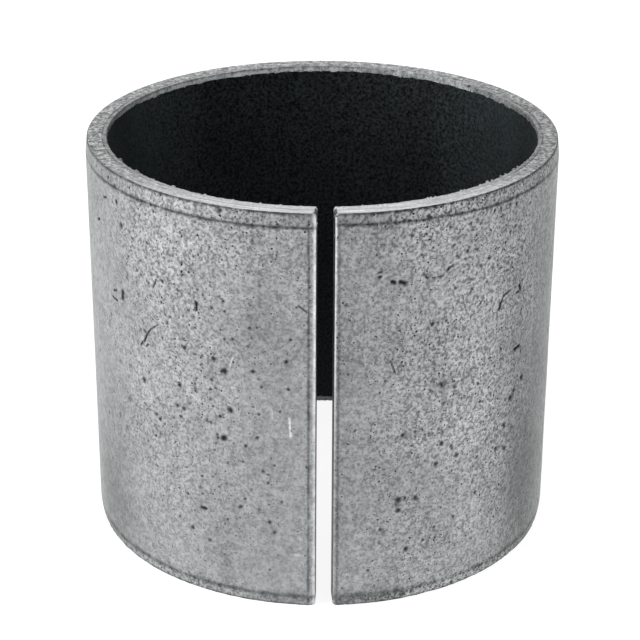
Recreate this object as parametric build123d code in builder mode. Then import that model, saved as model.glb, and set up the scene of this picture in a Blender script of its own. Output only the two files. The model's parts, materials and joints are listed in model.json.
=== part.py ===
from build123d import *
import math
import os

# Sleeve bearing rolled from a lined steel strip, standing on one end.
# All lengths are in millimetres. +Z runs along the bore, the origin is the centre of the
# lower end face, and the butt joint of the strip faces -Y.

# Wall, from the bore outwards
bore_radius = 20.0
lining_thickness = 0.25
sinter_thickness = 0.25
steel_thickness = 1.5

# Length of the bearing along its axis
bearing_length = 38.2

# Shallow lead-in chamfer round the outside of each end
chamfer_length = 1.15
chamfer_depth = 0.15

# How far the inner layers stop short of each end face
sinter_setback = 0.05
lining_setback = 0.5

# How far the bore opens out beyond the lining, over the deburred lip at each end
lip_depth = 0.13

# Butt joint: the faces of the sheared strip close up towards the bore
joint_gap_outside = 1.6
joint_gap_bore = 1.36
joint_corner_radius = 0.3

# Shear roll-over beside the joint, seen from outside with +Z up
left_rollover_width = 0.65
right_rollover_width = 0.25
rollover_depth = 0.08

# How far a cutting shape runs past what it cuts
overrun = 1.0

sinter_inner_radius = bore_radius + lining_thickness
steel_inner_radius = sinter_inner_radius + sinter_thickness
outer_radius = steel_inner_radius + steel_thickness
sinter_top = bearing_length - sinter_setback
lining_top = bearing_length - lining_setback

# Half section through the wall on the side of the joint: radius across, height up. Turned
# from here, each layer closes on itself inside the gap that the joint then opens.
wall_section = Plane(origin=(0, 0, 0), x_dir=(0, -1, 0), z_dir=(-1, 0, 0))


def joint_gap(radius):
    """Width of the butt joint at a distance from the axis."""
    closing = (joint_gap_outside - joint_gap_bore) / (outer_radius - bore_radius)
    return joint_gap_bore + (radius - bore_radius) * closing


def joint_outline(gap):
    """Outline of the joint seen from the front, rounded where it meets each end face."""
    edge = gap / 2
    corner = edge + joint_corner_radius
    low = joint_corner_radius
    high = bearing_length - joint_corner_radius
    Polyline((0, -overrun), (corner, -overrun), (corner, 0))
    CenterArc((corner, low), joint_corner_radius, 180, 90)
    Line((edge, low), (edge, high))
    CenterArc((corner, high), joint_corner_radius, 90, 90)
    Polyline((corner, bearing_length), (corner, bearing_length + overrun), (0, bearing_length + overrun))
    mirror(about=Plane.YZ)


def outside_at(x):
    """Y of the outside of the front wall at a sideways distance x from the axis."""
    return -math.sqrt(outer_radius**2 - x**2)


# Butt joint, as the wedge that is missing from all three layers
with BuildPart() as joint_wedge:
    for reach in (bore_radius - overrun, outer_radius + overrun):
        with BuildSketch(Plane.XZ.offset(reach)):
            with BuildLine():
                joint_outline(joint_gap(reach))
            make_face()
    loft(ruled=True)

# Steel back, with its chamfers, the joint and the roll-over along both edges of the joint
with BuildPart() as steel_back:
    with BuildSketch(wall_section):
        with BuildLine():
            Polyline(
                (steel_inner_radius, 0),
                (outer_radius - chamfer_depth, 0),
                (outer_radius, chamfer_length),
                (outer_radius, bearing_length - chamfer_length),
                (outer_radius - chamfer_depth, bearing_length),
                (steel_inner_radius, bearing_length),
                close=True,
            )
        make_face()
    revolve(axis=Axis.Z)
    add(joint_wedge.part, mode=Mode.SUBTRACT)

    fold_radius = outer_radius - rollover_depth
    fold = joint_gap(fold_radius) / 2
    left = -joint_gap_outside / 2 - left_rollover_width
    right = joint_gap_outside / 2 + right_rollover_width
    clear = -outer_radius - overrun
    with BuildSketch(Plane.XY):
        with BuildLine():
            Polyline(
                (-fold, -fold_radius),
                (left, outside_at(left)),
                (left, clear),
                (right, clear),
                (right, outside_at(right)),
                (fold, -fold_radius),
                close=True,
            )
        make_face()
    extrude(amount=bearing_length, mode=Mode.SUBTRACT)

# Porous metal layer sintered onto the steel, a hair lower than the end faces, with a
# deburred lip round the bore that covers each end of the lining
with BuildPart() as sintered_layer:
    with BuildSketch(wall_section):
        with BuildLine():
            Polyline(
                (bore_radius, lining_setback),
                (bore_radius + lip_depth, sinter_setback),
                (steel_inner_radius, sinter_setback),
                (steel_inner_radius, sinter_top),
                (bore_radius + lip_depth, sinter_top),
                (bore_radius, lining_top),
                (sinter_inner_radius, lining_top),
                (sinter_inner_radius, lining_setback),
                close=True,
            )
        make_face()
    revolve(axis=Axis.Z)
    add(joint_wedge.part, mode=Mode.SUBTRACT)

# Dark sliding lining on the bore, between the two lips
with BuildPart() as sliding_lining:
    with BuildSketch(wall_section):
        with BuildLine():
            Polyline(
                (bore_radius, lining_setback),
                (sinter_inner_radius, lining_setback),
                (sinter_inner_radius, lining_top),
                (bore_radius, lining_top),
                close=True,
            )
        make_face()
    revolve(axis=Axis.Z)
    add(joint_wedge.part, mode=Mode.SUBTRACT)

steel_back.part.label = "steel_back"
sintered_layer.part.label = "sintered_layer"
sliding_lining.part.label = "sliding_lining"

os.makedirs("parts", exist_ok=True)
export_step(steel_back.part, "parts/steel_back.step")
export_step(sintered_layer.part, "parts/sintered_layer.step")
export_step(sliding_lining.part, "parts/sliding_lining.step")
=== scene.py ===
import json
import math
import random
from functools import reduce

import bmesh
import bpy
import numpy as np
from mathutils import Matrix, Vector, noise

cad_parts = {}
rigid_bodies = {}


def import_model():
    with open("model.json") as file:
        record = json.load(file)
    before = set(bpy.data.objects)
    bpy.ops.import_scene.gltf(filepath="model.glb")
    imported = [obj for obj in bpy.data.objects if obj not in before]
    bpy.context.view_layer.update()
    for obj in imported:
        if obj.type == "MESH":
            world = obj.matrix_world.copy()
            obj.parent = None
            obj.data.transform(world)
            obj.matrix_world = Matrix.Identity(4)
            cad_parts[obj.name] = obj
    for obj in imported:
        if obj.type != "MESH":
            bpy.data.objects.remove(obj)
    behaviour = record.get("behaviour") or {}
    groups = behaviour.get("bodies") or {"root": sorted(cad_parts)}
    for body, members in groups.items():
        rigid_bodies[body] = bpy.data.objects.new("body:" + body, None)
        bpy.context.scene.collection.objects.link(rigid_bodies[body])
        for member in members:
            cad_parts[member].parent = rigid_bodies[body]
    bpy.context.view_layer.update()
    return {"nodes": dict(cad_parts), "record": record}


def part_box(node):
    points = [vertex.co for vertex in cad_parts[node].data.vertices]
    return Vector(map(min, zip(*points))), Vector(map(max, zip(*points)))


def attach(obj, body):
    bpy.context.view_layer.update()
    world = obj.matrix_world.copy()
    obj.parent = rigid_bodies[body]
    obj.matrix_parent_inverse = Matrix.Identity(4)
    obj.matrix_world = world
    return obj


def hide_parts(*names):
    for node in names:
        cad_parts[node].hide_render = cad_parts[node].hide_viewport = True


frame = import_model()

# The finish of a wrapped sleeve bearing: pitted steel back, sintered band, dark lining.
# Lengths are in millimetres until a mesh or a lamp is made. Height is +Z, the joint of the
# strip is at -Y, and "right" is +X, as the joint is seen from outside. Degrees are counted
# from the joint, positive to the right. A strength is a share from 0 to 1.
MM = 0.001


def node_radius(name):
    """Largest distance of a CAD node from the axis of the bore."""
    return max(math.hypot(v.co.x, v.co.y) for v in frame["nodes"][name].data.vertices) / MM


# Sizes of the solids
mounts = {mount["name"]: mount["dims"] for mount in frame["record"]["mounts"]}
BORE = mounts["bore"]["r_mm"]
OUTSIDE = round(node_radius("steel_back"), 3)
STEEL_INSIDE = round(node_radius("sintered_layer"), 3)
SINTER_INSIDE = round(node_radius("sliding_lining"), 3)
LENGTH = round(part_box("steel_back")[1].z / MM, 3)
SINTER_SETBACK = round(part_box("sintered_layer")[0].z / MM, 3)
LINING_SETBACK = round(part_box("sliding_lining")[0].z / MM, 3)
CHAMFER_DEPTH = 0.15
JOINT_OUTSIDE = 1.6
JOINT_BORE = 1.36
JOINT_CORNER = 0.3
ROLLOVER_LEFT = 0.65
ROLLOVER_RIGHT = 0.25
ROLLOVER_DEPTH = 0.08

# How far the lip opens the bore, which is less than in the solids
LIP_DEPTH = 0.06

# Form of the steel's edges
ROLLOVER_CURVE = 1.5
EDGE_ROUNDING = 0.07
NIBBLE_DEPTH = 0.10
NIBBLE_HEIGHT = 0.3

# Grooves where the chamfer tool ran out
GROOVE_DEPTH = 0.035
GROOVE_WIDTH = 0.085
GROOVE_WOBBLE = 0.07
# How far below the upper end the chamfer stops: degrees, distance
GROOVE_RUN = [
    (3, 0.9), (12, 1), (28, 1.1), (40, 1.28), (75, 1.35), (180, 1.15), (-72, 1.3), (-25, 1.34), (-15, 1.26),
    (-3, 1.24),
]
LOWER_GROOVE = 1.03

# Unevenness of the steel: over the wall, and on the end faces with one deeper turned ring
SLOW_RELIEF = 0.012
QUICK_RELIEF = 0.004
TURNING_DEPTH = 0.006
TURNING_RATE = 24
DEEP_RING = 20.9
DEEP_RING_DEPTH = 0.02
DEEP_RING_WIDTH = 0.06
FACE_RELIEF = 0.01

# Paint on the steel: painted shade in and below the grooves, dark edge lines of painted shade, a painted
# highlight along the edges of the joint, and darker chamfers. Pairs of spreads are for the upper and lower
# end, and the others for the right and left of the joint.
GROOVE_SHADE_SPREADS = (0.16, 0.24)
GROOVE_SHADE_UPPER = (0.76, 0.86)
GROOVE_SHADE_LOWER = (0.44, 0.6)
GROOVE_SHADE_LIMIT = 0.92
GROOVE_SHADE_FADE = 0.35
GROOVE_SHADE_FADE_START = 21.5
GROOVE_SHADE_FADE_LENGTH = 4.6
EDGE_LINES = (0.36, 0.63)
EDGE_LINE_STRENGTHS = (0.5, 0.66)
EDGE_LINE_WIDTH = 0.12
RIM_LINE = 0.08
RIM_LINE_WIDTH = 0.13
RIM_LINE_STRENGTH = 0.74
SHINE_WIDTHS = (0.15, 0.26)
SHINE_BELOW = (0.25, 0.6)
SHINE_GAIN = (0.7, 0.4)
# How much darker the chamfers are painted
CHAMFER_DARKENING = 0.09

# Form of the softer layers. A wave is its depth, the noise scale and the noise offset.
LIP_CLEARANCE = 0.01
LIP_RAGGED = 0.09
LIP_GRAIN = 0.08
LIP_REACH = 0.04
SINTER_SINK = 0.015
SINTER_GRAIN = 0.012
LIP_WAVES = [(0.14, 0.75, 9.0), (0.09, 2.1, 2.0)]
LIP_LOWER_BEHIND = 0.1
LINING_OVERLAP = 0.02
LINING_RELIEF = 0.008

# Mesh density: steps across the strip and along its length, and parts of a cell with a mark
WALL_STEP = 0.45
SINTER_STEP = 0.3
LINING_STEP = 0.5
LINING_ROW_STEP = 0.9
HIDDEN_ROW_STEP = 3.0
PIT_DIVISIONS = 4
MARK_MARGIN = 0.6 * WALL_STEP
# Rows of cells that are never divided, beside the joint and at the ends
WHOLE_BESIDE_JOINT = 4
WHOLE_AT_END = 2
SHARP_ANGLE = math.radians(38)
# Slack when points are picked by where they lie in the section
NEARLY = 0.01

# Form of the marks: breadth of the flat middle and steepness of the sides
PIT_PROFILE = (1.25, 0.85)
SCRATCH_PROFILE = (1.2, 0.8)
MARK_UNEVEN = 0.3
# Depth of a pit as a share of its width, up to a width, and depth of a scratch
PIT_DEPTH = 0.14
PIT_DEPTH_WIDTH = 0.4
SCRATCH_DEPTH = 0.012

# Pits that the photograph shows on the outside: degrees, height, width
PITS = [
    (12.1, 32.3, 0.4), (28.7, 32.1, 0.34), (34, 33.4, 0.36), (25, 27.3, 0.38), (5.2, 23.4, 0.24),
    (28.5, 15.3, 0.48), (31.2, 14.8, 0.42), (32.8, 13.7, 0.5), (26.9, 13.4, 0.42), (17.5, 10.5, 0.66),
    (19.2, 10.6, 0.32), (21.8, 10.4, 0.52), (17.5, 9.4, 0.58), (13.2, 7.7, 0.38), (32.4, 7.4, 0.36),
    (27.1, 6.9, 0.32), (27.4, 5.8, 0.28), (19.8, 5.3, 0.54), (28, 21.2, 0.4), (18.2, 16.9, 0.42),
    (55.7, 18.5, 0.62), (52.4, 17.7, 0.46), (51, 17.1, 0.58), (48.8, 14.7, 0.48), (45.8, 12.7, 0.5),
    (49.4, 12.2, 0.48), (39.3, 12.7, 0.4), (39.5, 18.3, 0.36), (39.1, 9.1, 0.42), (49.7, 34.1, 0.34),
    (38.2, 36.5, 0.3), (41.9, 36.4, 0.34), (44, 36.4, 0.3), (47.3, 36.4, 0.36), (49.7, 36.2, 0.36),
    (37.5, 35.6, 0.3), (44.8, 35.7, 0.28), (34.6, 35.9, 0.26), (19.4, 35.8, 0.26), (22.8, 35.8, 0.26),
    (29, 36, 0.26), (33, 36.4, 0.24), (-26.4, 28.7, 0.32), (-32.6, 28, 0.3), (-34, 24.2, 0.38),
    (-26.2, 23.9, 0.46), (-23.5, 22.9, 0.68), (-26.8, 21.8, 0.36), (-21.2, 26.1, 0.3), (-16.5, 23.3, 0.42),
    (-35.7, 20.4, 0.52), (-36.5, 18.3, 0.42), (-34.6, 18.2, 0.42), (-35.5, 17.3, 0.36), (-22.1, 19.2, 0.64),
    (-24.7, 18.4, 0.34), (-23.8, 16.3, 0.68), (-25.4, 16.2, 0.36), (-15.6, 16.9, 0.36), (-18.4, 15.9, 0.38),
    (-15.2, 19.2, 0.3), (-19.2, 14.3, 0.3), (-14.2, 13.6, 0.38), (-11.6, 14.3, 0.28), (-9.9, 10.7, 0.32),
    (-19.9, 9.7, 0.42), (-12.8, 8.5, 0.42), (-11.6, 7.5, 0.38), (-32.9, 6.3, 0.5), (-28.1, 5.5, 0.4),
    (-29.4, 8.7, 0.46), (-17.2, 27.4, 0.32), (-15.4, 27.5, 0.26), (-8.8, 24.5, 0.4), (-8.3, 21.9, 0.32),
    (-7.8, 26.6, 0.3), (-48, 24.4, 0.3), (-46.6, 24.5, 0.3), (-40.6, 27.9, 0.32), (-40.1, 30, 0.4),
    (-54.6, 33.6, 0.6), (-56.4, 35.6, 0.45), (-44.8, 33.1, 0.32), (-47.4, 19.5, 0.6), (-43.3, 16.6, 0.42),
    (-42.1, 16.3, 0.42), (-42.2, 36.3, 0.3), (-60.5, 37.4, 0.34), (-57, 37, 0.4), (-24, 37.8, 0.42),
]
# Strength of these pits: the least, the gain with the width, and more above a height
PIT_STRENGTH = 0.66
PIT_STRENGTH_PER_MM = 0.3
PIT_STRENGTH_WIDTH = 0.5
PIT_STRENGTH_ABOVE = 0.12
PIT_HEIGHT_ABOVE = 15

# Fainter and softer ones, in the same form
BLOTS = [
    (10.6, 33.6, 0.4), (12.7, 35.1, 0.55), (4.6, 29.9, 0.42), (26.4, 26.6, 0.28), (28.9, 25.9, 0.3),
    (33.6, 25.9, 0.4), (28.6, 21.2, 0.9), (28.7, 19.3, 0.45), (33.9, 21.2, 0.38), (11.1, 18.4, 0.32),
    (18.5, 16.9, 0.8), (32.9, 11.4, 0.56), (11.7, 13.9, 0.3), (9.9, 14.6, 0.24), (25, 8.5, 0.36),
    (8, 6.7, 0.3), (12.9, 6.4, 0.44), (9.1, 6.3, 0.3), (4.1, 10.6, 0.36), (15.5, 26.9, 0.32),
    (42.4, 14.2, 0.5), (52, 13.9, 0.55), (52.7, 26.9, 0.36), (-38.9, 26.3, 0.46), (-35.5, 26.2, 0.44),
    (-36.8, 28, 0.3), (-36.8, 27.4, 0.3), (-25.1, 26.6, 0.28), (-26.8, 23, 0.32), (-10.2, 21.5, 0.42),
    (-40, 17.8, 0.5), (-9.2, 13.8, 0.28), (-34, 14.8, 0.34), (-17.1, 11.6, 0.3), (-15.3, 9.7, 0.4),
    (-22.1, 11.7, 0.4), (-51.5, 23.2, 0.46), (-52.6, 28.8, 0.4), (-50.4, 28.6, 0.32), (-57.3, 20, 0.7),
    (-52.8, 20.2, 0.5), (-42.4, 18.2, 0.46), (-40.9, 17.7, 0.55), (-53.4, 16.8, 0.55), (-43.7, 15.3, 0.6),
    (-58.6, 14.3, 0.65), (-55.5, 13.5, 0.6), (-43.7, 11.3, 0.38), (-44.6, 9.7, 0.34), (-3.4, 7, 0.4),
]
BLOT_STRENGTH = 0.42

# Gouges: degrees and height of one end, degrees and height of the other, width
GOUGES = [
    (14.9, 31.8, 15.5, 31.7, 0.4), (16.9, 31.7, 17.9, 31.5, 0.44), (11.6, 32.7, 12.6, 32.8, 0.16),
    (22.4, 32.2, 23.4, 31.7, 0.18), (24.6, 31.6, 25.4, 31.6, 0.15), (26.2, 31.6, 27.5, 31.6, 0.16),
    (28.9, 32.2, 29.9, 32.4, 0.18), (45, 26.8, 45.3, 27.2, 0.42), (45.3, 27.2, 46.3, 27.9, 0.22),
    (46.3, 27.9, 48.4, 28.1, 0.2), (52.6, 28.1, 53.1, 27.7, 0.36), (51.5, 27.5, 52.4, 27.5, 0.22),
    (51.6, 21.9, 53.8, 22, 0.34), (-55, 27.2, -55.3, 26.5, 0.46), (-60.2, 26, -57.8, 25.9, 0.24),
    (-59.5, 26.7, -58, 26.9, 0.2), (-46.8, 23.4, -45.8, 24.2, 0.28), (-45.8, 24.2, -44.4, 24.9, 0.18),
    (-44.4, 24.9, -41.5, 25.7, 0.12), (-48.2, 22.9, -47.4, 23.3, 0.2), (-46.2, 23, -45.4, 23.3, 0.2),
    (-68.2, 32.4, -66.6, 32.7, 0.26), (-63.2, 35.2, -61.6, 35.4, 0.22), (-30.3, 28.9, -30.4, 28.2, 0.28),
    (-5.9, 29.8, -4.2, 29.3, 0.16), (15, 24.3, 16.1, 23.1, 0.14), (-42, 29.9, -43.2, 29, 0.16),
    (-30.1, 8.7, -28.9, 8.7, 0.3),
]
GOUGE_STRENGTH = 0.98

# Bright scratches, in the same form, with a strength
SCRATCHES = [
    (-8.1, 19.1, -7.8, 17.3, 0.17, 0.9), (-12.1, 19.8, -11.9, 18.9, 0.12, 0.3),
    (8.8, 25.8, 9.1, 24, 0.11, 0.3), (-22.2, 23.3, -21.4, 24.3, 0.14, 0.5),
    (-6, 5.3, -6.9, 5.4, 0.24, 0.35), (12.3, 32.1, 12.9, 32.3, 0.12, 0.4),
    (-38, 25.4, -39.6, 25.2, 0.12, 0.3), (-41.6, 25.7, -43, 25, 0.12, 0.3),
    (58.8, 27.5, 60.4, 24, 0.22, 0.16), (60.4, 24, 59.2, 20.2, 0.22, 0.14),
    (16.6, 21.8, 17.2, 21.2, 0.16, 0.3), (15.2, 20.6, 15.8, 20.3, 0.16, 0.3),
]

# Broad dull stains, or paler patches where the strength is negative: degrees, height, half
# width, half height, strength. The tall bands over the whole height are painted shade, and
# painted light where paler, of the reflections round the wall; the smaller ones are stains.
STAINS_AND_SHADE = [
    (-14, 29.5, 1.8, 5.5, 0.17), (-23.7, 4, 0.4, 2.6, 0.22), (-8, 25, 1.6, 3, 0.12),
    (3.5, 7.5, 1, 4.5, 0.14), (55, 7, 2.6, 8.5, 0.24), (61, 5, 3.4, 8, 0.24), (51.5, 20, 1, 7.5, 0.15),
    (57, 14, 2.2, 5, 0.08), (-67, 4.5, 4, 7.5, 0.3), (-58, 7, 2.6, 7, 0.12), (-38, 17, 2.4, 3, 0.06),
    (27.8, 21, 1.4, 1.4, 0.16), (67, 17, 5.5, 24, 0.22), (0, 20, 5.5, 19, 0.15), (60, 19, 6.5, 26, 0.15),
    (37, 19, 4, 20, -0.13), (-40, 19, 4, 20, -0.08), (4, 0.9, 2, 0.8, 0.36), (-8, 0.6, 3, 0.6, 0.22),
    (14, 0.7, 3, 0.7, 0.25), (-16, 27.3, 0.9, 0.9, 0.16),
]

# Random marks all round the wall, from one series of draws. Pairs are the limits of a draw.
SEED = 11
RANDOM_PITS = 190
PIT_DEGREES = (3, 357)
SEEN_DEGREES = 70
SEEN_WIDTHS = (0.14, 0.17, 0.2)
UNSEEN_WIDTHS = (0.2, 0.24, 0.3, 0.36, 0.5)
WIDTH_SPREAD = (0.8, 1.2)
PIT_MARGIN = 1.8
RANDOM_PIT_STRENGTHS = (0.4, 0.85)
# Straight ones: count, degrees, least distance from the ends, tilt, length, width, strength
RANDOM_GOUGES = (30, (66, 294), 2, (-0.6, 0.9), (0.3, 0.8), (0.12, 0.24), (0.5, 0.9))
RANDOM_SCRATCHES = (22, (80, 280), 3, (0.9, 2.2), (0.6, 2.4), (0.08, 0.13), (0.4, 0.8))
# Where small pits crowd: degrees, height, spread in degrees, spread in height, count
CROWDS = [
    (-38, 29, 11, 4.5, 130), (42, 32, 9, 3, 70), (-28, 16, 11, 5, 55), (34, 17, 11, 6, 50),
]
CROWD_WIDTHS = (0.18, 0.30)
CROWD_STRENGTHS = (0.5, 1.0)
CROWD_CLEAR_DEGREES = 4
CROWD_CLEAR_ENDS = 1.7

# Crumbs of metal left on the inner rim of the upper end face: degrees, size
RIM_CRUMBS = [
    (-66, 0.34), (-64.6, 0.22), (-56, 0.32), (-54.9, 0.24), (-48, 0.16), (-41, 0.3), (-40.4, 0.2),
    (-31, 0.28), (-23, 0.18), (-16, 0.24), (-11, 0.2), (-6, 0.14), (9, 0.16), (26, 0.26), (26.8, 0.22),
    (28, 0.16), (36, 0.26), (37, 0.2), (42.5, 0.2), (45.5, 0.36), (47, 0.24), (51, 0.28), (53, 0.2),
    (57.5, 0.3), (59.5, 0.22), (133, 0.26), (-149, 0.24), (98, 0.22), (-107, 0.2), (171, 0.2), (-171, 0.24),
]
# The same on the edges of the joint: side (-1 left, 1 right), height, size
JOINT_CRUMBS = [
    (-1, 37.35, 0.2), (-1, 37.15, 0.12), (-1, 36.3, 0.12), (1, 38, 0.18), (1, 36.25, 0.16), (1, 30.8, 0.09),
    (-1, 27.5, 0.09), (-1, 33.4, 0.08),
]
CRUMB_SWELL = 0.45
CRUMB_NOISE = 5
CRUMB_SHIFT = 3.1

JOINT_ANGLE = math.asin(JOINT_OUTSIDE / 2 / OUTSIDE)
STRIP_WIDTH = OUTSIDE * (2 * math.pi - 2 * JOINT_ANGLE)
# Distance from the joint over which the strip is drawn in to the closing faces of the joint
JOINT_BLEND = 2.0


def along(degrees):
    """Distance along the flat strip, from its right-hand edge, of an angle."""
    turn = math.radians(degrees) % (2 * math.pi)
    return OUTSIDE * (turn - JOINT_ANGLE)


def smooth(value):
    """Eases a value from 0 to 1."""
    value = np.clip(value, 0, 1)
    return value * value * (3 - 2 * value)


def ramp(distance, reach, power=1):
    """Falls from 1 at no distance to 0 at the reach."""
    return np.clip(1 - distance / reach, 0, 1) ** power


def bell(distance, width, power=2):
    """Falls in a bell shape from 1 at no distance."""
    return np.exp(-((distance / width) ** power))


def from_joint(arc):
    """Distance along the strip from the nearer edge of the joint."""
    return np.minimum(arc, STRIP_WIDTH - arc)


def from_end(height):
    """Distance from the nearer end face."""
    return np.minimum(height, LENGTH - height)


def rolled(arc, radius, height):
    """Where points of the strip lie once it is rolled. Takes and returns arrays."""
    distance = from_joint(arc)
    side = np.where(arc < STRIP_WIDTH / 2, 1.0, -1.0)
    inside = np.clip(JOINT_CORNER - from_end(height), 0, JOINT_CORNER)
    opening = JOINT_CORNER - np.sqrt(JOINT_CORNER**2 - inside**2)
    gap = JOINT_BORE + (radius - BORE) * (JOINT_OUTSIDE - JOINT_BORE) / (OUTSIDE - BORE)
    shift = np.arcsin((gap / 2 + opening) / radius) - JOINT_ANGLE
    angle = JOINT_ANGLE + distance / OUTSIDE + shift * ramp(distance, JOINT_BLEND, 2)
    return np.stack((side * radius * np.sin(angle), -radius * np.cos(angle), height), axis=-1)


def ripple(points, scale, offset=0.0):
    """Smooth noise from -1 to 1 at an array of points."""
    shift = Vector((offset, offset, offset))
    return np.array([noise.noise(Vector(p) * scale + shift) for p in points])


class Place:
    """Points of the flat strip, with what their form and their paint depend on."""

    def __init__(self, arc, radius, height):
        self.arc = arc
        self.radius = radius
        self.height = height
        self.base = rolled(arc, radius, height)
        self.distance = from_joint(arc)
        self.end = from_end(height)
        self.right = arc < STRIP_WIDTH / 2
        self.upper = height > LENGTH / 2

    def sides(self, right, left):
        """One value right of the joint and another left of it."""
        return np.where(self.right, right, left)

    def ends(self, upper, lower):
        """One value in the upper half and another in the lower half."""
        return np.where(self.upper, upper, lower)

    def moved(self, inwards, from_ends):
        """The rolled points, moved towards the axis and from the nearer end to the middle."""
        height = self.height + self.ends(-from_ends, from_ends)
        return rolled(self.arc, self.radius - inwards, height)


class Shell:
    """Faces over points that are given by their place in the flat strip."""

    def __init__(self):
        self.ids = {}
        self.places = []
        self.faces = []
        self.kinds = []

    def point(self, arc, radius, height):
        key = (round(arc, 4), round(radius, 4), round(height, 4))
        if key not in self.ids:
            self.ids[key] = len(self.places)
            self.places.append((arc, radius, height))
        return self.ids[key]

    def face(self, corners, kind):
        self.faces.append(corners)
        self.kinds.append(kind)

    def sweep(self, arcs, line, kind):
        """Quads of one kind along the strip from a line of (radius, height) points."""
        for start, end in zip(arcs, arcs[1:]):
            for first, second in zip(line, line[1:]):
                self.face([self.point(start, *first), self.point(end, *first),
                           self.point(end, *second), self.point(start, *second)], kind)

    def close_ends(self, arcs, outer, top, inner, bottom, kind):
        """Faces across the section at both edges of the strip. Every line runs up or inwards."""
        for arc in (arcs[0], arcs[-1]):
            o, t, q, b = [[self.point(arc, *p) for p in line] for line in (outer, top, inner, bottom)]
            self.face([o[0], o[1], q[1], q[0]] + b[::-1], kind)
            self.face([o[-2], o[-1]] + t + [q[-1], q[-2]], kind)
            i = 1
            j = 1
            while i < len(o) - 2 or j < len(q) - 2:
                rise = outer[i + 1][1] if i < len(o) - 2 else math.inf
                inner_rise = inner[j + 1][1] if j < len(q) - 2 else math.inf
                level = math.isclose(rise, inner_rise)
                next_i = i + (level or rise < inner_rise)
                next_j = j + (level or rise > inner_rise)
                self.face(o[i:next_i + 1] + q[j:next_j + 1][::-1], kind)
                i = next_i
                j = next_j

    def wrap(self, arcs, outer, top, inner, bottom):
        """A whole layer of one kind, from the four sides of its section."""
        self.sweep(arcs, outer + top + inner[::-1] + bottom[::-1] + outer[:1], 0)
        self.close_ends(arcs, outer, top, inner, bottom, 0)

    def build(self, name, shape, materials):
        """The mesh object. shape gives its points and the paint on each point."""
        arc, radius, height = np.array(self.places).T
        points, paint = shape(Place(arc, radius, height))
        mesh = bpy.data.meshes.new(name)
        mesh.from_pydata((points * MM).tolist(), [], self.faces)
        for layer, values in paint.items():
            attribute = mesh.attributes.new(layer, "FLOAT", "POINT")
            attribute.data.foreach_set("value", values.astype(np.float32))
        for material in materials:
            mesh.materials.append(material)
        mesh.polygons.foreach_set("material_index", self.kinds)
        mesh.update()
        turn_outwards(mesh)
        return new_object(name, mesh)


def new_object(name, data):
    """An object of its own in the scene."""
    made = bpy.data.objects.new(name, data)
    bpy.context.scene.collection.objects.link(made)
    return made


def turn_outwards(mesh):
    """Turns every face outwards and smooths the mesh between its sharp edges."""
    bm = bmesh.new()
    bm.from_mesh(mesh)
    bmesh.ops.recalc_face_normals(bm, faces=bm.faces)
    bm.to_mesh(mesh)
    bm.free()
    mesh.polygons.foreach_set("use_smooth", [True] * len(mesh.polygons))
    mesh.set_sharp_from_angle(angle=SHARP_ANGLE)
    mesh.update()


def mirrored_steps(total, near, step):
    """Stations from 0 to total: the near ones at both ends, and even steps between them."""
    count = round((total - 2 * near[-1]) / step)
    middle = np.linspace(near[-1], total - near[-1], count + 1)[1:-1]
    return near + [float(m) for m in middle] + [total - n for n in reversed(near)]


# Stations across and along the strip, closer where it bends
ARCS_NEAR_JOINT = [
    0, 0.03, 0.07, 0.12, 0.18, 0.25, 0.32, 0.4, 0.5, 0.58, 0.66, 0.74, 0.85, 1.1, 1.4, 1.8,
]
ROWS_NEAR_END = [
    0, 0.03, 0.07, 0.12, 0.2, 0.3, 0.5, 0.7, 0.8, 0.86, 0.92, 0.98, 1.04, 1.1, 1.16, 1.22, 1.28, 1.34, 1.4,
    1.46, 1.55, 1.7,
]
INNER_ROWS_NEAR_END = [0, 0.03, 0.12, 0.3, 1.0]
SINTER_ROWS_NEAR_END = [0, 0.03, 0.12, 0.3, 0.42, 1.0]
LINING_ROWS_NEAR_END = [0, 0.05, 0.2, 0.6]


def spot_mark(degrees, rise, width, strength):
    """A round mark, as a straight one of no length."""
    return line_mark(degrees, rise, degrees, rise, width, strength)


def line_mark(degrees, rise, end_degrees, end_rise, width, strength):
    """A straight mark between two places, as (start, end, width, strength)."""
    return (along(degrees), rise), (along(end_degrees), end_rise), width, strength


def pit_strength(width, rise):
    """Strength of a pit that the photograph shows."""
    strength = PIT_STRENGTH + PIT_STRENGTH_PER_MM * min(width, PIT_STRENGTH_WIDTH)
    return strength + PIT_STRENGTH_ABOVE * (rise > PIT_HEIGHT_ABOVE)


def random_pits(draw):
    """Small pits all round, wider where the photograph doesn't reach."""
    marks = []
    for _ in range(RANDOM_PITS):
        degrees = draw.uniform(*PIT_DEGREES)
        unseen = SEEN_DEGREES < degrees < 360 - SEEN_DEGREES
        width = draw.choice(UNSEEN_WIDTHS if unseen else SEEN_WIDTHS) * draw.uniform(*WIDTH_SPREAD)
        rise = draw.uniform(PIT_MARGIN, LENGTH - PIT_MARGIN)
        marks.append(spot_mark(degrees, rise, width, draw.uniform(*RANDOM_PIT_STRENGTHS)))
    return marks


def random_lines(draw, count, degrees, margin, tilts, reaches, widths, strengths):
    """Straight marks at random places."""
    marks = []
    for _ in range(count):
        arc = along(draw.uniform(*degrees))
        rise = draw.uniform(margin, LENGTH - margin)
        tilt = draw.uniform(*tilts)
        reach = draw.uniform(*reaches)
        end = (arc + reach * math.cos(tilt), rise + reach * math.sin(tilt))
        marks.append(((arc, rise), end, draw.uniform(*widths), draw.uniform(*strengths)))
    return marks


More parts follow.
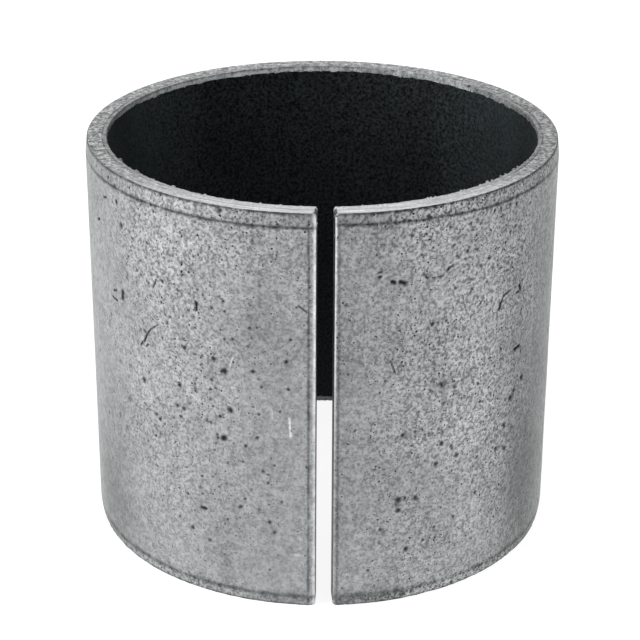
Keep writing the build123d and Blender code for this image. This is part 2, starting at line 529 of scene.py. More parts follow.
def crowded_pits(draw):
    """Small pits round the places where they crowd, clear of the joint and the chamfers."""
    marks = []
    for degrees, rise, spread, climb, count in CROWDS:
        for _ in range(count):
            turn = draw.gauss(degrees, spread)
            level = draw.gauss(rise, climb)
            width = draw.uniform(*CROWD_WIDTHS)
            strength = draw.uniform(*CROWD_STRENGTHS)
            inside = CROWD_CLEAR_ENDS < level < LENGTH - CROWD_CLEAR_ENDS
            if abs(turn) > CROWD_CLEAR_DEGREES and inside:
                marks.append(spot_mark(turn, level, width, strength))
    return marks


def wall_marks():
    """Every hollow and every scratch on the outside, in places of the flat strip."""
    draw = random.Random(SEED)
    pits = [spot_mark(a, h, w, pit_strength(w, h)) for a, h, w in PITS]
    pits += [spot_mark(a, h, w, BLOT_STRENGTH) for a, h, w in BLOTS]
    pits += random_pits(draw)
    gouges = [line_mark(*gouge, GOUGE_STRENGTH) for gouge in GOUGES]
    gouges += random_lines(draw, *RANDOM_GOUGES)
    scratches = [line_mark(*scratch) for scratch in SCRATCHES]
    scratches += random_lines(draw, *RANDOM_SCRATCHES)
    pits += crowded_pits(draw)
    return pits + gouges, scratches


HOLLOWS, TRACES = wall_marks()


def mark_distance(arc, height, start, end):
    """Distance of each point from a straight mark."""
    run = (end[0] - start[0], end[1] - start[1])
    length = max(run[0] ** 2 + run[1] ** 2, 1e-9)
    share = np.clip(((arc - start[0]) * run[0] + (height - start[1]) * run[1]) / length, 0, 1)
    return np.hypot(arc - start[0] - share * run[0], height - start[1] - share * run[1])


def marked_cells(arcs, rows):
    """Which cells of a grid have a mark in them or beside them."""
    middles = [(np.array(line[1:]) + np.array(line[:-1])) / 2 for line in (arcs, rows)]
    arc_grid, row_grid = np.meshgrid(*middles, indexing="ij")
    marked = np.zeros(arc_grid.shape, bool)
    for start, end, width, _ in HOLLOWS + TRACES:
        marked |= mark_distance(arc_grid, row_grid, start, end) < width / 2 + MARK_MARGIN
    marked[:WHOLE_BESIDE_JOINT] = marked[-WHOLE_BESIDE_JOINT:] = False
    marked[:, :WHOLE_AT_END] = marked[:, -WHOLE_AT_END:] = False
    return marked


def outer_face(shell, spots, kind):
    """A face of the outside, from the distances along the strip and heights of its corners."""
    shell.face([shell.point(arc, OUTSIDE, height) for arc, height in spots], kind)


def divided_cell(shell, left, right, low, high, kind):
    """A cell of the outside as smaller quads."""
    across = np.linspace(left, right, PIT_DIVISIONS + 1).tolist()
    upward = np.linspace(low, high, PIT_DIVISIONS + 1).tolist()
    for a, b in zip(across, across[1:]):
        for c, d in zip(upward, upward[1:]):
            outer_face(shell, [(a, c), (b, c), (b, d), (a, d)], kind)


def whole_cell(shell, left, right, low, high, beside_divided, kind):
    """A cell of the outside as one face that shares every point of its divided neighbours."""
    corners = [(left, low), (right, low), (right, high), (left, high)]
    ring = []
    for start, end, divided in zip(corners, corners[1:] + corners[:1], beside_divided):
        count = PIT_DIVISIONS if divided else 1
        for k in range(count):
            ring.append([a + (b - a) * k / count for a, b in zip(start, end)])
    outer_face(shell, ring, kind)


def pitted_wall(shell, arcs, rows, kind):
    """The outside of the steel as a grid with finer cells wherever there is a mark."""
    marked = marked_cells(arcs, rows)
    for i, (left, right) in enumerate(zip(arcs, arcs[1:])):
        for j, (low, high) in enumerate(zip(rows, rows[1:])):
            if marked[i, j]:
                divided_cell(shell, left, right, low, high, kind)
                continue
            beside_marked = [j > 0 and marked[i, j - 1], i < len(arcs) - 2 and marked[i + 1, j],
                             j < len(rows) - 2 and marked[i, j + 1], i > 0 and marked[i - 1, j]]
            whole_cell(shell, left, right, low, high, beside_marked, kind)


def edge_relief(place, chamfer_end, groove_at, quick, grain):
    """How far the outside is sunk by the chamfers, their grooves and the edges."""
    groove = bell(place.end - groove_at, GROOVE_WIDTH)
    groove *= 0.8 + 0.2 * np.clip(quick * 1.6 + 0.4, -1, 1)
    nibbles = NIBBLE_DEPTH * np.clip(grain + 0.3, 0, 1) * ramp(place.end, NIBBLE_HEIGHT)
    rollover = place.sides(ROLLOVER_RIGHT, ROLLOVER_LEFT)
    return (
        CHAMFER_DEPTH * ramp(place.end, chamfer_end)
        + GROOVE_DEPTH * groove
        + EDGE_ROUNDING * ramp(place.end, EDGE_ROUNDING, 2)
        + place.ends(0, nibbles)
        + ROLLOVER_DEPTH * ramp(place.distance, rollover, ROLLOVER_CURVE)
        + EDGE_ROUNDING * ramp(place.distance, EDGE_ROUNDING, 2)
    )


def marks_on(place, grain):
    """Dark paint of the hollows, bright paint of the traces, and how far both are sunk."""
    dark, bright, sunk = np.zeros((3, len(grain)))
    uneven = 1 + MARK_UNEVEN * grain

    def form(start, stop, width, profile):
        near = mark_distance(place.arc, place.height, start, stop) * uneven
        return smooth(profile[0] - near / (width / 2) * profile[1])

    for start, stop, width, strength in HOLLOWS:
        hollow = form(start, stop, width, PIT_PROFILE)
        dark = np.maximum(dark, strength * hollow)
        sunk = np.maximum(sunk, PIT_DEPTH * min(width, PIT_DEPTH_WIDTH) * strength * hollow)
    for start, stop, width, strength in TRACES:
        trace = form(start, stop, width, SCRATCH_PROFILE)
        bright = np.maximum(bright, strength * trace)
        sunk = np.maximum(sunk, SCRATCH_DEPTH * trace)
    return dark, bright, sunk


def stains_and_shade_on(place, chamfered):
    """Broad stains and bands of painted shade and painted light, and the slightly duller chamfers."""
    clear = np.ones(len(chamfered))
    for degrees, rise, half_width, half_height, strength in STAINS_AND_SHADE:
        away = np.hypot((place.arc - along(degrees)) / half_width,
                        (place.height - rise) / half_height)
        clear *= 1 - strength * bell(away, 1)
    return 1 - clear * (1 - CHAMFER_DARKENING * chamfered)


def shadows_on(place, groove_at, quick, grain):
    """Painted shade: below the grooves, in a line beside the joint and in one round each rim."""
    spread = place.ends(*GROOVE_SHADE_SPREADS) * (1 + 0.35 * np.clip(quick + 0.6 * grain, -1, 1))
    groove_shade = bell(place.end - groove_at - 0.02, spread) * (0.85 + 0.35 * quick)
    groove_shade *= place.ends(place.sides(*GROOVE_SHADE_UPPER), place.sides(*GROOVE_SHADE_LOWER))
    groove_shade *= 1 - GROOVE_SHADE_FADE * smooth((place.distance - GROOVE_SHADE_FADE_START) / GROOVE_SHADE_FADE_LENGTH)
    edge_line = bell(place.distance - place.sides(*EDGE_LINES), EDGE_LINE_WIDTH)
    edge_line *= (0.8 + 0.45 * quick) * smooth((place.end - 0.25) / 0.5)
    rim_line = bell(place.end - RIM_LINE, RIM_LINE_WIDTH) * np.clip(0.8 + 0.5 * quick, 0, 1.2)
    dark = np.maximum(np.clip(groove_shade, 0, GROOVE_SHADE_LIMIT), RIM_LINE_STRENGTH * rim_line)
    return np.maximum(dark, place.sides(*EDGE_LINE_STRENGTHS) * np.clip(edge_line, 0, 1))


def joint_edge_highlight(place, quick):
    """Painted highlight along the edges of the joint, stronger towards the top."""
    shine = bell(place.distance, place.sides(*SHINE_WIDTHS), 4) * (0.85 + 0.3 * quick)
    climb = smooth((place.height - 14) / 12)
    return shine * (place.sides(*SHINE_BELOW) + place.sides(*SHINE_GAIN) * climb)


def steel_shape(place):
    """Real form of the steel back, and the paint on it."""
    outside = place.radius > OUTSIDE - NEARLY
    face = (place.end < NEARLY) & ~outside
    slow = ripple(place.base, 0.25)
    quick = ripple(place.base, 1.3, 7.0)
    grain = ripple(place.base, 4.0, 3.0)
    turns, upper_ends = zip(*GROOVE_RUN)
    upper_end = np.interp(place.arc, [along(degrees) for degrees in turns], upper_ends)
    chamfer_end = place.ends(upper_end, LOWER_GROOVE)
    groove_at = chamfer_end + GROOVE_WOBBLE * quick

    dark, bright, sunk = marks_on(place, grain)
    sunk = sunk + edge_relief(place, chamfer_end, groove_at, quick, grain)
    sunk += SLOW_RELIEF * (1 + slow) + QUICK_RELIEF * (1 + quick)
    turning = TURNING_DEPTH * (1 + np.sin(place.radius * TURNING_RATE + 0.6 * slow))
    turning += DEEP_RING_DEPTH * bell(place.radius - DEEP_RING, DEEP_RING_WIDTH)
    turned = turning * (0.6 + 0.4 * quick) + FACE_RELIEF * (1 + grain)
    points = place.moved(np.where(outside, sunk, 0), np.where(face, turned, 0))

    # Painted shade of the grooves, the joint and the rims joins the dark paint of the pits
    dark = np.maximum(dark, shadows_on(place, groove_at, quick, grain))
    # Painted highlight along the edges of the joint joins the bright paint of the scratches
    bright = np.maximum(bright, joint_edge_highlight(place, quick))
    paint = {
        "dark": np.clip(np.where(outside, dark, 0), 0, 1),
        "bright": np.clip(np.where(outside, bright, 0), 0, 1),
        "stain": stains_and_shade_on(place, outside & (place.end < groove_at)),
    }
    return points, paint


# Parts of the range of a noise node that are stretched over a full effect, softest first
SOFT = (0.3, 0.7)
EVEN = (0.35, 0.65)
CRISP = (0.36, 0.64)
STARK = (0.38, 0.62)

# Round specks: the flat middle and the pale rim, a painted highlight, as shares of their radius
SPECK_MIDDLE = 0.5
SPECK_RIM = (1.0, 1.2, 1.7)
SMALLEST_SPECK = 0.5


class Nodes:
    """A material's node tree, built by short calls. Each value is a number or a socket."""

    def __init__(self, name):
        self.material = bpy.data.materials.new(name)
        self.material.use_nodes = True
        self.tree = self.material.node_tree
        self.shader = self.tree.nodes["Principled BSDF"]
        self.place = self.scaled(self.add("ShaderNodeTexCoord").outputs["Object"], 1 / MM)
        self.x, self.y, self.z = self.add("ShaderNodeSeparateXYZ", [self.place]).outputs

    def add(self, kind, inputs=(), **settings):
        """A new node. Its inputs are a list in their order, or a dictionary by their names."""
        node = self.tree.nodes.new(kind)
        for key, value in settings.items():
            setattr(node, key, value)
        for key, value in inputs.items() if isinstance(inputs, dict) else enumerate(inputs):
            self.feed(node.inputs[key], value)
        return node

    def feed(self, socket, value):
        if isinstance(value, bpy.types.NodeSocket):
            self.tree.links.new(value, socket)
        else:
            socket.default_value = value

    def math(self, operation, *values):
        return self.add("ShaderNodeMath", values, operation=operation).outputs[0]

    def chain(self, operation, values):
        return reduce(lambda first, other: self.math(operation, first, other), values)

    def times(self, *values):
        return self.chain("MULTIPLY", values)

    def plus(self, *values):
        return self.chain("ADD", values)

    def most(self, *values):
        return self.chain("MAXIMUM", values)

    def capped(self, value, limit=1):
        """The value, or the limit where the value is above it."""
        return self.math("MINIMUM", value, limit)

    def less(self, value):
        """One minus the value."""
        return self.math("SUBTRACT", 1, value)

    def span(self, value, low, high, to_low=0, to_high=1):
        """Maps low..high onto to_low..to_high and stops at both ends."""
        numbers = (value, low, high, to_low, to_high)
        return self.add("ShaderNodeMapRange", numbers, clamp=True).outputs["Result"]

    def from_axis(self):
        """Distance from the axis of the bore."""
        return self.math("SQRT", self.plus(self.times(self.x, self.x), self.times(self.y, self.y)))

    def front(self):
        """1 near the joint, falling to 0 half way to the axis."""
        return self.span(self.y, -20, -10, 1, 0)

    def noise(self, scale, detail=2, roughness=0.5, vector=None):
        inputs = {"Vector": vector or self.place, "Scale": scale, "Detail": detail}
        inputs["Roughness"] = roughness
        return self.add("ShaderNodeTexNoise", inputs).outputs["Fac"]

    def stretched_noise(self, across, up, detail, roughness=0.5):
        """Noise over two values of its own in place of the coordinates."""
        both = self.add("ShaderNodeCombineXYZ", [across, up])
        return self.noise(1, detail, roughness, both.outputs[0])

    def spots(self, per_mm, radius, share):
        """Round specks and their pale rims of painted highlight: cells per mm, radius in cells, share of
        the cells.
        """
        cells = self.add("ShaderNodeTexVoronoi", {"Vector": self.place, "Scale": per_mm}).outputs
        drawn = self.add("ShaderNodeSeparateColor", [cells["Color"]]).outputs
        size = self.span(drawn[1], 0, 1, radius * SMALLEST_SPECK, radius)
        away = self.math("DIVIDE", cells["Distance"], size)
        chosen = self.math("LESS_THAN", drawn[0], share)
        disc = self.times(self.span(away, SPECK_MIDDLE, 1, 1, 0), chosen)
        start, top, end = SPECK_RIM
        rim = self.times(self.span(away, start, top), self.span(away, top, end, 1, 0), chosen)
        return disc, rim

    def paint(self, name):
        return self.add("ShaderNodeAttribute", attribute_name=name).outputs["Fac"]

    def scaled(self, vector, value):
        """A vector or a color, multiplied by a value."""
        inputs = {"Vector": vector, "Scale": value}
        return self.add("ShaderNodeVectorMath", inputs, operation="SCALE").outputs[0]

    def bump(self, height):
        """Relief from a height in millimetres."""
        inputs = {"Strength": 1, "Distance": MM, "Height": height}
        relief = self.add("ShaderNodeBump", inputs)
        self.feed(self.shader.inputs["Normal"], relief.outputs[0])

    def finish(self, color, roughness, metallic=0, specular=0.5):
        self.feed(self.shader.inputs["Base Color"], color)
        self.feed(self.shader.inputs["Roughness"], roughness)
        self.shader.inputs["Metallic"].default_value = metallic
        self.shader.inputs["Specular IOR Level"].default_value = specular
        return self.material


STEEL_TINT = (0.96, 0.99, 1)
STEEL_METALLIC = 0.9
STEEL_VALUE = 0.393
# Heights over which the chamfers begin
LOWER_CHAMFER = (0.9, 1.3)
UPPER_CHAMFER = (LENGTH - 1.3, LENGTH - 1)
# Speckle of the wall: strength of its grain, specks, dots, large specks and pale rims of painted highlight
GRAIN_LOW = 0.32
GRAIN_HIGH = 0.20
SPECK_STRENGTH = 0.95
DOT_STRENGTH = 0.82
LARGE_STRENGTH = 0.7
RIM_HIGHLIGHT_STRENGTH = 0.26
DARK_STRENGTH = 0.96
BRIGHT_STRENGTH = 0.6


def speckle_gain(n):
    """Strength of the speckle: more high up and on the chamfers, less in front and at the sides."""
    crowd = n.noise(0.11, detail=1)
    rise = n.plus(n.span(n.z, 5, 36, 0.72, 1.28), n.span(n.z, *LOWER_CHAMFER, 1, 0))
    aside = n.math("ABSOLUTE", n.x)
    rise = n.plus(rise, n.span(n.z, *UPPER_CHAMFER, 0, 0.45))
    return n.times(n.span(aside, 16.5, 21.3, 1, 0.35), n.span(aside, 3, 8, 0.7, 1.15), rise,
                   n.span(crowd, *EVEN, 0.75, 1.2), n.span(n.x, -8, 8, 0.79, 1.12))


def rolled_steel():
    """Dull rolled steel with speckle, specks, pits, stains and scratches, painted shade and highlights, and
    pale rims of painted highlight round the specks.
    """
    n = Nodes("rolled_steel")
    gain = speckle_gain(n)
    fine = n.noise(3.5, detail=1.5, roughness=0.6)
    medium = n.noise(1.3, detail=3, roughness=0.6)
    cloud = n.noise(0.16, detail=3)
    speck, speck_highlight_rim = n.spots(2.1, 0.27, 0.55)
    dot, dot_highlight_rim = n.spots(3.3, 0.30, 0.6)
    large = n.times(n.spots(0.8, 0.17, 0.2)[0], LARGE_STRENGTH)
    small = n.times(n.most(n.times(speck, SPECK_STRENGTH), n.times(dot, DOT_STRENGTH)), gain)
    # Pale rims round the specks: painted highlight
    rims = n.times(n.most(speck_highlight_rim, dot_highlight_rim), gain, RIM_HIGHLIGHT_STRENGTH)
    dark = n.capped(n.most(small, large, n.paint("dark")))
    grain = n.times(n.capped(n.span(fine, *CRISP, -GRAIN_LOW, GRAIN_LOW), GRAIN_HIGH), gain)
    value = n.times(n.plus(grain, 1.04, rims), n.span(medium, *CRISP, 0.84, 1.14),
                    n.span(cloud, *EVEN, 0.92, 1.07), STEEL_VALUE)
    # The stain paint also holds bands of painted shade and painted light
    value = n.times(value, n.less(n.times(dark, DARK_STRENGTH)), n.less(n.paint("stain")))
    value = n.capped(n.plus(value, n.times(n.paint("bright"), BRIGHT_STRENGTH)))
    rough = n.plus(n.span(fine, *SOFT, 0.62, 0.46), n.times(dark, 0.25))
    height = n.plus(n.times(fine, gain, 0.02), n.times(medium, 0.02))
    n.bump(n.math("SUBTRACT", height, n.times(n.most(small, large), 0.015)))
    return n.finish(n.scaled(STEEL_TINT, value), rough, metallic=STEEL_METALLIC)


# Shade of the deeper ring on the end faces: its radius, and the distances over which it fades
RING_SHADE = 20.92
RING_SHADE_WIDTH = (0.03, 0.12)


def turned_steel():
    """End face with turning rings, made bright beside the joint by a painted highlight, and dull with
    blotches elsewhere, darker towards both sides as painted shade.
    """
    n = Nodes("turned_steel")
    radius = n.from_axis()
    turn = n.math("ARCTAN2", n.x, n.times(n.y, -1))
    ring = n.stretched_noise(n.times(radius, 5), n.times(turn, 5), 3, 0.65)
    front = n.front()
    blotch = n.noise(1.6, detail=3, roughness=0.65)
    fine = n.noise(4, detail=2, roughness=0.6)
    nick, nick_highlight_rim = n.spots(1.7, 0.27, 0.4)
    off_ring = n.math("ABSOLUTE", n.math("SUBTRACT", radius, RING_SHADE))
    line = n.span(off_ring, *RING_SHADE_WIDTH, 0.62, 1)
    # Painted shade: the dull face darker towards both sides
    dull = n.times(n.span(blotch, *CRISP, 0.09, 0.49), n.span(fine, *STARK, 0.5, 1.5),
                   n.span(n.x, 8, 20, 1, 0.76), n.span(n.x, -20, -8, 0.88, 1))
    # Pale rims round the nicks: painted highlight
    dull = n.times(dull, n.less(n.times(nick, 0.85)), n.plus(1, n.times(nick_highlight_rim, 0.3)))
    # Painted highlight: the face beside the joint, bright with turning rings
    front_highlight = n.times(n.span(ring, *SOFT, 0.36, 0.84), n.span(fine, *CRISP, 0.85, 1.12), line)
    front_highlight = n.times(front_highlight, n.less(n.times(nick, 0.25)))
    value = n.capped(n.plus(n.times(dull, n.less(front)), n.times(front_highlight, front)))
    n.bump(n.plus(n.times(ring, 0.012), n.times(blotch, 0.03)))
    rough = n.span(ring, *SOFT, 0.5, 0.38)
    return n.finish(n.scaled(STEEL_TINT, value), rough, metallic=STEEL_METALLIC)


def sheared_steel():
    """Cut faces of the joint, with streaks across the sheet, painted dark as the painted shade inside the
    joint.
    """
    n = Nodes("sheared_steel")
    streak = n.stretched_noise(n.times(n.y, 1.2), n.times(n.z, 7), 3)
    grit = n.noise(5, detail=2)
    # Painted shade: the cut faces are kept dark
    value = n.times(n.span(streak, *SOFT, 0.10, 0.22), n.span(grit, *SOFT, 0.8, 1.2))
    n.bump(n.plus(n.times(streak, 0.03), n.times(grit, 0.01)))
    rough = n.span(grit, *SOFT, 0.6, 0.45)
    return n.finish(n.scaled(STEEL_TINT, value), rough, metallic=STEEL_METALLIC)


# Value of the sintered band beside the joint, bright there as a painted highlight, and the radii over which
# its edge line of painted shade sets in
SINTER_FRONT_VALUE = 0.72
SINTER_METALLIC = 0.6
SINTER_SHADE_LINE = (STEEL_INSIDE - 0.18, STEEL_INSIDE - 0.08)


def sintered_metal():
    """Light grainy band with a broken dark line of painted shade at its edge. Painted light makes it bright
    beside the joint and brighter at the back, most on the lip at the left, and painted shade darkens it
    towards the lower end.
    """
    n = Nodes("sintered_metal")
    grain = n.noise(5.5, detail=2, roughness=0.7)
    blotch = n.noise(1.6, detail=3, roughness=0.65)
    radius = n.from_axis()
    front = n.front()
    back = n.span(n.y, 4, 14)
    side = n.times(n.less(front), n.less(back))
    # Painted shade: a broken dark line in the gap beside the steel, at the sides
    line = n.times(n.span(radius, *SINTER_SHADE_LINE), n.span(n.noise(1.4), 0.4, 0.55), side)
    # Painted light: brighter at the back, most on the lip at the left
    lip = n.times(n.span(n.z, LENGTH - 0.3, LENGTH - 0.12, 1, 0),
                  n.span(n.x, -8, 10, 2.2, 0.3))
    dull = n.times(n.span(blotch, *CRISP, 0.18, 0.46),
                   n.plus(1, n.times(back, n.plus(0.25, lip))))
    # Painted highlight: the value beside the joint
    light = n.plus(n.times(dull, n.less(front)), n.times(front, SINTER_FRONT_VALUE))
    value = n.times(light, n.span(grain, *SOFT, 0.6, 1.35), n.less(n.times(line, 0.8)))
    # Painted shade: darker towards the lower end
    value = n.times(n.capped(value), n.span(n.z, 1, 2, 0.2, 1))
    n.bump(n.times(grain, 0.03))
    rough = n.span(grain, *SOFT, 0.65, 0.5)
    return n.finish(n.scaled(STEEL_TINT, value), rough, metallic=SINTER_METALLIC)


LINING_TINT = (0.8, 1, 1.06)
LINING_SPECULAR = 0.12
# Value of the lining in the middle and at its sides; the lighter sides are painted light
LINING_VALUES = (0.0095, 0.029)
LINING_SPECK_VALUE = 0.012


def dark_lining():
    """Dull black lining with a mottle that is weaker at the sides, and a few pale specks. Painted light
    makes it lighter at the sides and towards the back, and painted shade a little darker at the right.
    """
    n = Nodes("dark_lining")
    mottle = n.noise(3.4, detail=3, roughness=0.7)
    cloud = n.noise(0.2, detail=2)
    even = n.span(n.math("ABSOLUTE", n.x), 11, 18)
    specks = n.spots(1.1, 0.2, 0.1)[0]
    mottled = n.times(n.span(mottle, *STARK, -1, 1.8), n.span(even, 0, 1, 1, 0.35))
    # Painted light and shade: lighter at the sides and towards the back, darker at the right
    value = n.times(n.plus(1, mottled), n.span(cloud, *SOFT, 0.85, 1.2),
                    n.span(even, 0, 1, *LINING_VALUES), n.span(n.x, 8, 18, 1, 0.85),
                    n.span(n.y, 5, 18, 1, 1.8))
    value = n.plus(value, n.times(specks, LINING_SPECK_VALUE))
    n.bump(n.times(mottle, 0.02))
    color = n.scaled(LINING_TINT, value)
    return n.finish(color, n.span(mottle, *SOFT, 0.7, 0.55), specular=LINING_SPECULAR)


# Slots of the steel back's materials
WALL = 0
FACE = 1
CUT = 2
# Rings of points on the steel's end face, and how far the second is from the outermost
FACE_RINGS = 12
OUTER_RING = 0.3


def make_steel_back():
    """The steel back, with its chamfers, joint, grooves and larger marks as real relief."""
    arcs = mirrored_steps(STRIP_WIDTH, ARCS_NEAR_JOINT, WALL_STEP)
    rows = mirrored_steps(LENGTH, ROWS_NEAR_END, WALL_STEP)
    inner_rows = mirrored_steps(LENGTH, INNER_ROWS_NEAR_END, HIDDEN_ROW_STEP)
    radii = [OUTSIDE] + np.linspace(OUTSIDE - OUTER_RING, STEEL_INSIDE, FACE_RINGS).tolist()[:-1]
    shell = Shell()
    pitted_wall(shell, arcs, rows, WALL)
    top = [(r, LENGTH) for r in radii + [STEEL_INSIDE]]
    bottom = [(r, 0) for r, _ in top]
    inner = [(STEEL_INSIDE, z) for z in inner_rows]
    shell.sweep(arcs, top, FACE)
    shell.sweep(arcs, bottom, FACE)
    shell.sweep(arcs, inner, CUT)
    outer = [(OUTSIDE, z) for z in rows]
    shell.close_ends(arcs, outer, top[1:-1], inner, bottom[1:-1], CUT)
    materials = [rolled_steel(), turned_steel(), sheared_steel()]
    piece = shell.build("steel_strip", steel_shape, materials)
    add_crumbs(piece, joint_crumbs())
    return piece


def lip_wave(place):
    """How much further in from the end than in the solids the edge of the lining lies."""
    level = place.base * (1, 1, 0)
    wave = sum(depth * ripple(level, scale, offset) for depth, scale, offset in LIP_WAVES)
    return wave + LIP_LOWER_BEHIND * np.clip(place.base[:, 1] / 12, 0, 1)


def sinter_shape(place):
    """Real form of the sintered band, ragged along the bore."""
    ragged = ripple(place.base, 2.2)
    grain = ripple(place.base, 6.0, 5.0)
    on_lip = (place.radius < BORE + LIP_DEPTH + NEARLY) & (place.end < LINING_SETBACK + NEARLY)
    outwards = np.where(on_lip, LIP_RAGGED * ragged + LIP_GRAIN * grain, 0)
    inwards = np.minimum(-outwards, place.radius - (BORE - LIP_REACH))
    on_face = place.end < SINTER_SETBACK + NEARLY
    face_lift = SINTER_SETBACK - SINTER_SINK - SINTER_GRAIN * (1 + grain)
    low_edge = (place.end > LINING_SETBACK - NEARLY) & (place.end < LINING_SETBACK + 3 * NEARLY)
    sink = np.where(low_edge, lip_wave(place), 0) - np.where(on_face, face_lift, 0)
    return place.moved(inwards, sink), {}


def add_crumbs(piece, spots):
    """Joins small rough lumps to a piece. Each spot is a point and a size, in millimetres."""
    bm = bmesh.new()
    bm.from_mesh(piece.data)
    for number, (spot, size) in enumerate(spots):
        lump = bmesh.ops.create_icosphere(bm, subdivisions=2, radius=size / 2 * MM)["verts"]
        shift = Vector((number * CRUMB_SHIFT, 0, 0))
        for vertex in lump:
            swell = 1 + CRUMB_SWELL * noise.noise(vertex.co / MM * CRUMB_NOISE + shift)
            vertex.co = vertex.co * swell + Vector(spot) * MM
            vertex.co.z = min(vertex.co.z, LENGTH * MM)
    for face in bm.faces:
        face.smooth = True
    bm.to_mesh(piece.data)
    bm.free()


def rolled_point(arc, radius, height):
    """Where one point of the strip lies once it is rolled."""
    return rolled(*np.array([[arc], [radius], [height]]))[0]


def rim_crumbs():
    """Lumps that lie on the inner rim of the upper end and lean into the bore."""
    edge = BORE + LIP_DEPTH
    return [(rolled_point(along(degrees), edge - 0.45 * size, LENGTH - 0.35 * size), size)
            for degrees, size in RIM_CRUMBS]


def joint_crumbs():
    """Lumps on the edges of the joint."""
    edge = OUTSIDE - ROLLOVER_DEPTH
    return [(rolled_point(0.0 if side > 0 else STRIP_WIDTH, edge - 0.5 * size, height), size)
            for side, height, size in JOINT_CRUMBS]


def make_sintered_band():
    """The layer under the lining. Only its ends, its lips and its edges at the joint show."""
    low, ledge = SINTER_SETBACK, LINING_SETBACK
    arcs = mirrored_steps(STRIP_WIDTH, ARCS_NEAR_JOINT[::3], SINTER_STEP)
    rows = mirrored_steps(LENGTH - 2 * low, SINTER_ROWS_NEAR_END, HIDDEN_ROW_STEP)
    outer = [(STEEL_INSIDE, low + z) for z in rows]
    lip = [(BORE + LIP_DEPTH, low), (BORE + LIP_DEPTH * 0.7, low + 0.03),
           (BORE + LIP_DEPTH * 0.3, low + 0.2), (BORE + LIP_CLEARANCE, ledge),
           (SINTER_INSIDE, ledge + 0.02)]
    heights = np.linspace(ledge + 1.0, LENGTH - ledge - 1.0, 12).tolist()
    middle = [(SINTER_INSIDE, z) for z in heights]
    inner = lip + middle + [(r, LENGTH - z) for r, z in reversed(lip)]
    radii = np.linspace(STEEL_INSIDE, BORE + LIP_DEPTH, 5).tolist()[1:-1]
    top = [(r, LENGTH - low) for r in radii]
    bottom = [(r, low) for r in radii]
    shell = Shell()
    shell.wrap(arcs, outer, top, inner, bottom)
    piece = shell.build("sinter_band", sinter_shape, [sintered_metal()])
    add_crumbs(piece, rim_crumbs())
    return piece


def lining_shape(place):
    """Real form of the lining, slightly uneven and wavy at its ends."""
    wave = ripple(place.base, 0.5)
    on_bore = place.radius < BORE + NEARLY
    at_edge = place.end < LINING_SETBACK + NEARLY
    back = np.where(at_edge, LINING_OVERLAP + lip_wave(place), 0)
    return place.moved(-np.where(on_bore, LINING_RELIEF * (1 + wave), 0), back), {}


def make_lining():
    """The dark sliding lining of the bore."""
    low, high = LINING_SETBACK, LENGTH - LINING_SETBACK
    arcs = mirrored_steps(STRIP_WIDTH, ARCS_NEAR_JOINT[::3], LINING_STEP)
    rows = [low + z for z in mirrored_steps(high - low, LINING_ROWS_NEAR_END, LINING_ROW_STEP)]
    outer = [(SINTER_INSIDE, z) for z in rows]
    inner = [(BORE, z) for z in rows]
    top = [(BORE + 0.12, high)]
    bottom = [(BORE + 0.12, low)]
    shell = Shell()
    shell.wrap(arcs, outer, top, inner, bottom)
    return shell.build("bore_lining", lining_shape, [dark_lining()])


# Stage
CENTRE = Vector((0, 0, LENGTH / 2)) * MM
FLOOR_SIZE = 3.0
FLOOR_COLOR = 0.35
FLOOR_ROUGHNESS = 0.9
FLOOR_GLOW = 0.88


def pale_floor():
    """Pale, with a glow that only the camera, reflections and clear things see."""
    n = Nodes("pale_floor")
    ray = n.add("ShaderNodeLightPath").outputs
    seen = n.most(ray["Is Camera Ray"], ray["Is Glossy Ray"], ray["Is Transmission Ray"])
    n.shader.inputs["Emission Color"].default_value = (1, 1, 1, 1)
    n.feed(n.shader.inputs["Emission Strength"], n.times(seen, FLOOR_GLOW))
    return n.finish((FLOOR_COLOR, FLOOR_COLOR, FLOOR_COLOR, 1), FLOOR_ROUGHNESS, specular=0.0)


def make_floor():
    """A large floor that stays near white in view and still takes the shadow."""
    bpy.ops.mesh.primitive_plane_add(size=FLOOR_SIZE)
    floor = bpy.context.object
    floor.name = "floor"
    floor.data.materials.append(pale_floor())


# Lamps: azimuth from the joint (+90 is right) and elevation in degrees, width and height in
# metres, radiance
LAMPS = {
    "left_box": (-65, 25, 0.22, 0.35, 4.4),
    "left_side_box": (-90, 22, 0.22, 0.35, 0.9),
    "left_back_box": (-140, 22, 0.22, 0.35, 1.0),
    "back_box": (180, 25, 0.30, 0.25, 1.5),
    "right_back_box": (128, 22, 0.20, 0.35, 0.8),
    "right_side_box": (60, 25, 0.20, 0.35, 0.4),
    "right_box": (38, 28, 0.20, 0.35, 1.0),
    "top_box": (0, 84, 0.40, 0.40, 0.6),
}
# Distance of every lamp from the middle of the object, in metres
LAMP_DISTANCE = 0.45
SURROUND = 0.2


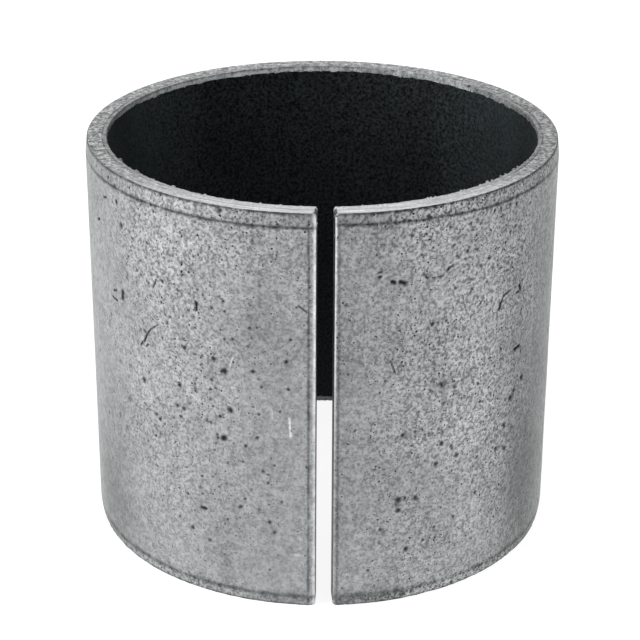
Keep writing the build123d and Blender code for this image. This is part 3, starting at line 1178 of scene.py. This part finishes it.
def softbox(name, azimuth, elevation, width, height, radiance):
    """A rectangular lamp that faces the object."""
    turn = math.radians(azimuth)
    rise = math.radians(elevation)
    level = math.cos(rise)
    direction = Vector((level * math.sin(turn), -level * math.cos(turn), math.sin(rise)))
    data = bpy.data.lights.new(name, "AREA")
    data.shape = "RECTANGLE"
    data.size = width
    data.size_y = height
    data.energy = radiance * math.pi * width * height
    lamp = new_object(name, data)
    lamp.location = CENTRE + direction * LAMP_DISTANCE
    lamp.rotation_euler = direction.to_track_quat("Z", "Y").to_euler()


def make_light():
    """Plain soft light: boxes round the object, the strongest at the left, and a grey surround."""
    for name, settings in LAMPS.items():
        softbox(name, *settings)
    world = bpy.data.worlds.new("surround")
    world.use_nodes = True
    background = world.node_tree.nodes["Background"]
    background.inputs["Color"].default_value = (SURROUND, SURROUND, SURROUND, 1)
    background.inputs["Strength"].default_value = 1.0
    bpy.context.scene.world = world


# Camera, found from the outline in the photograph. Its azimuth is counted from the joint.
IMAGE_WIDTH = 640
FOCAL_PIXELS = 2026.84
SENSOR = 36.0
CLIP_START = 0.01
CLIP_END = 20.0
CAMERA_ELEVATION = math.radians(24.17)
CAMERA_AZIMUTH = math.radians(-0.8)
CAMERA_ROLL = 0.0044
CAMERA_DISTANCE = 196.76
AIM_ASIDE = -0.15
AIM_HEIGHT = 18.715


def make_camera():
    """A camera at the photograph's place and angle."""
    data = bpy.data.cameras.new("camera")
    data.sensor_width = SENSOR
    data.lens = FOCAL_PIXELS / IMAGE_WIDTH * SENSOR
    data.clip_start = CLIP_START
    data.clip_end = CLIP_END
    camera = new_object("camera", data)
    ahead = Vector((0, math.cos(CAMERA_ELEVATION), -math.sin(CAMERA_ELEVATION)))
    right = Vector((1, 0, 0))
    above = right.cross(ahead)
    spot = Vector((AIM_ASIDE, 0, AIM_HEIGHT)) - ahead * CAMERA_DISTANCE
    view = Matrix((right, above, -ahead)).transposed().to_4x4()
    view.translation = spot * MM
    turn = Matrix.Rotation(CAMERA_AZIMUTH, 4, "Z")
    camera.matrix_world = turn @ view @ Matrix.Rotation(CAMERA_ROLL, 4, "Z")
    bpy.context.scene.camera = camera


make_camera()
make_floor()
make_light()

pieces = [
    (make_steel_back(), "steel_back", "steel"),
    (make_sintered_band(), "sintered_layer", "sinter"),
    (make_lining(), "sliding_lining", "lining"),
]
for piece, node, slot in pieces:
    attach(piece, "root")
    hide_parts(node)

bpy.context.scene.view_settings.view_transform = "Standard"
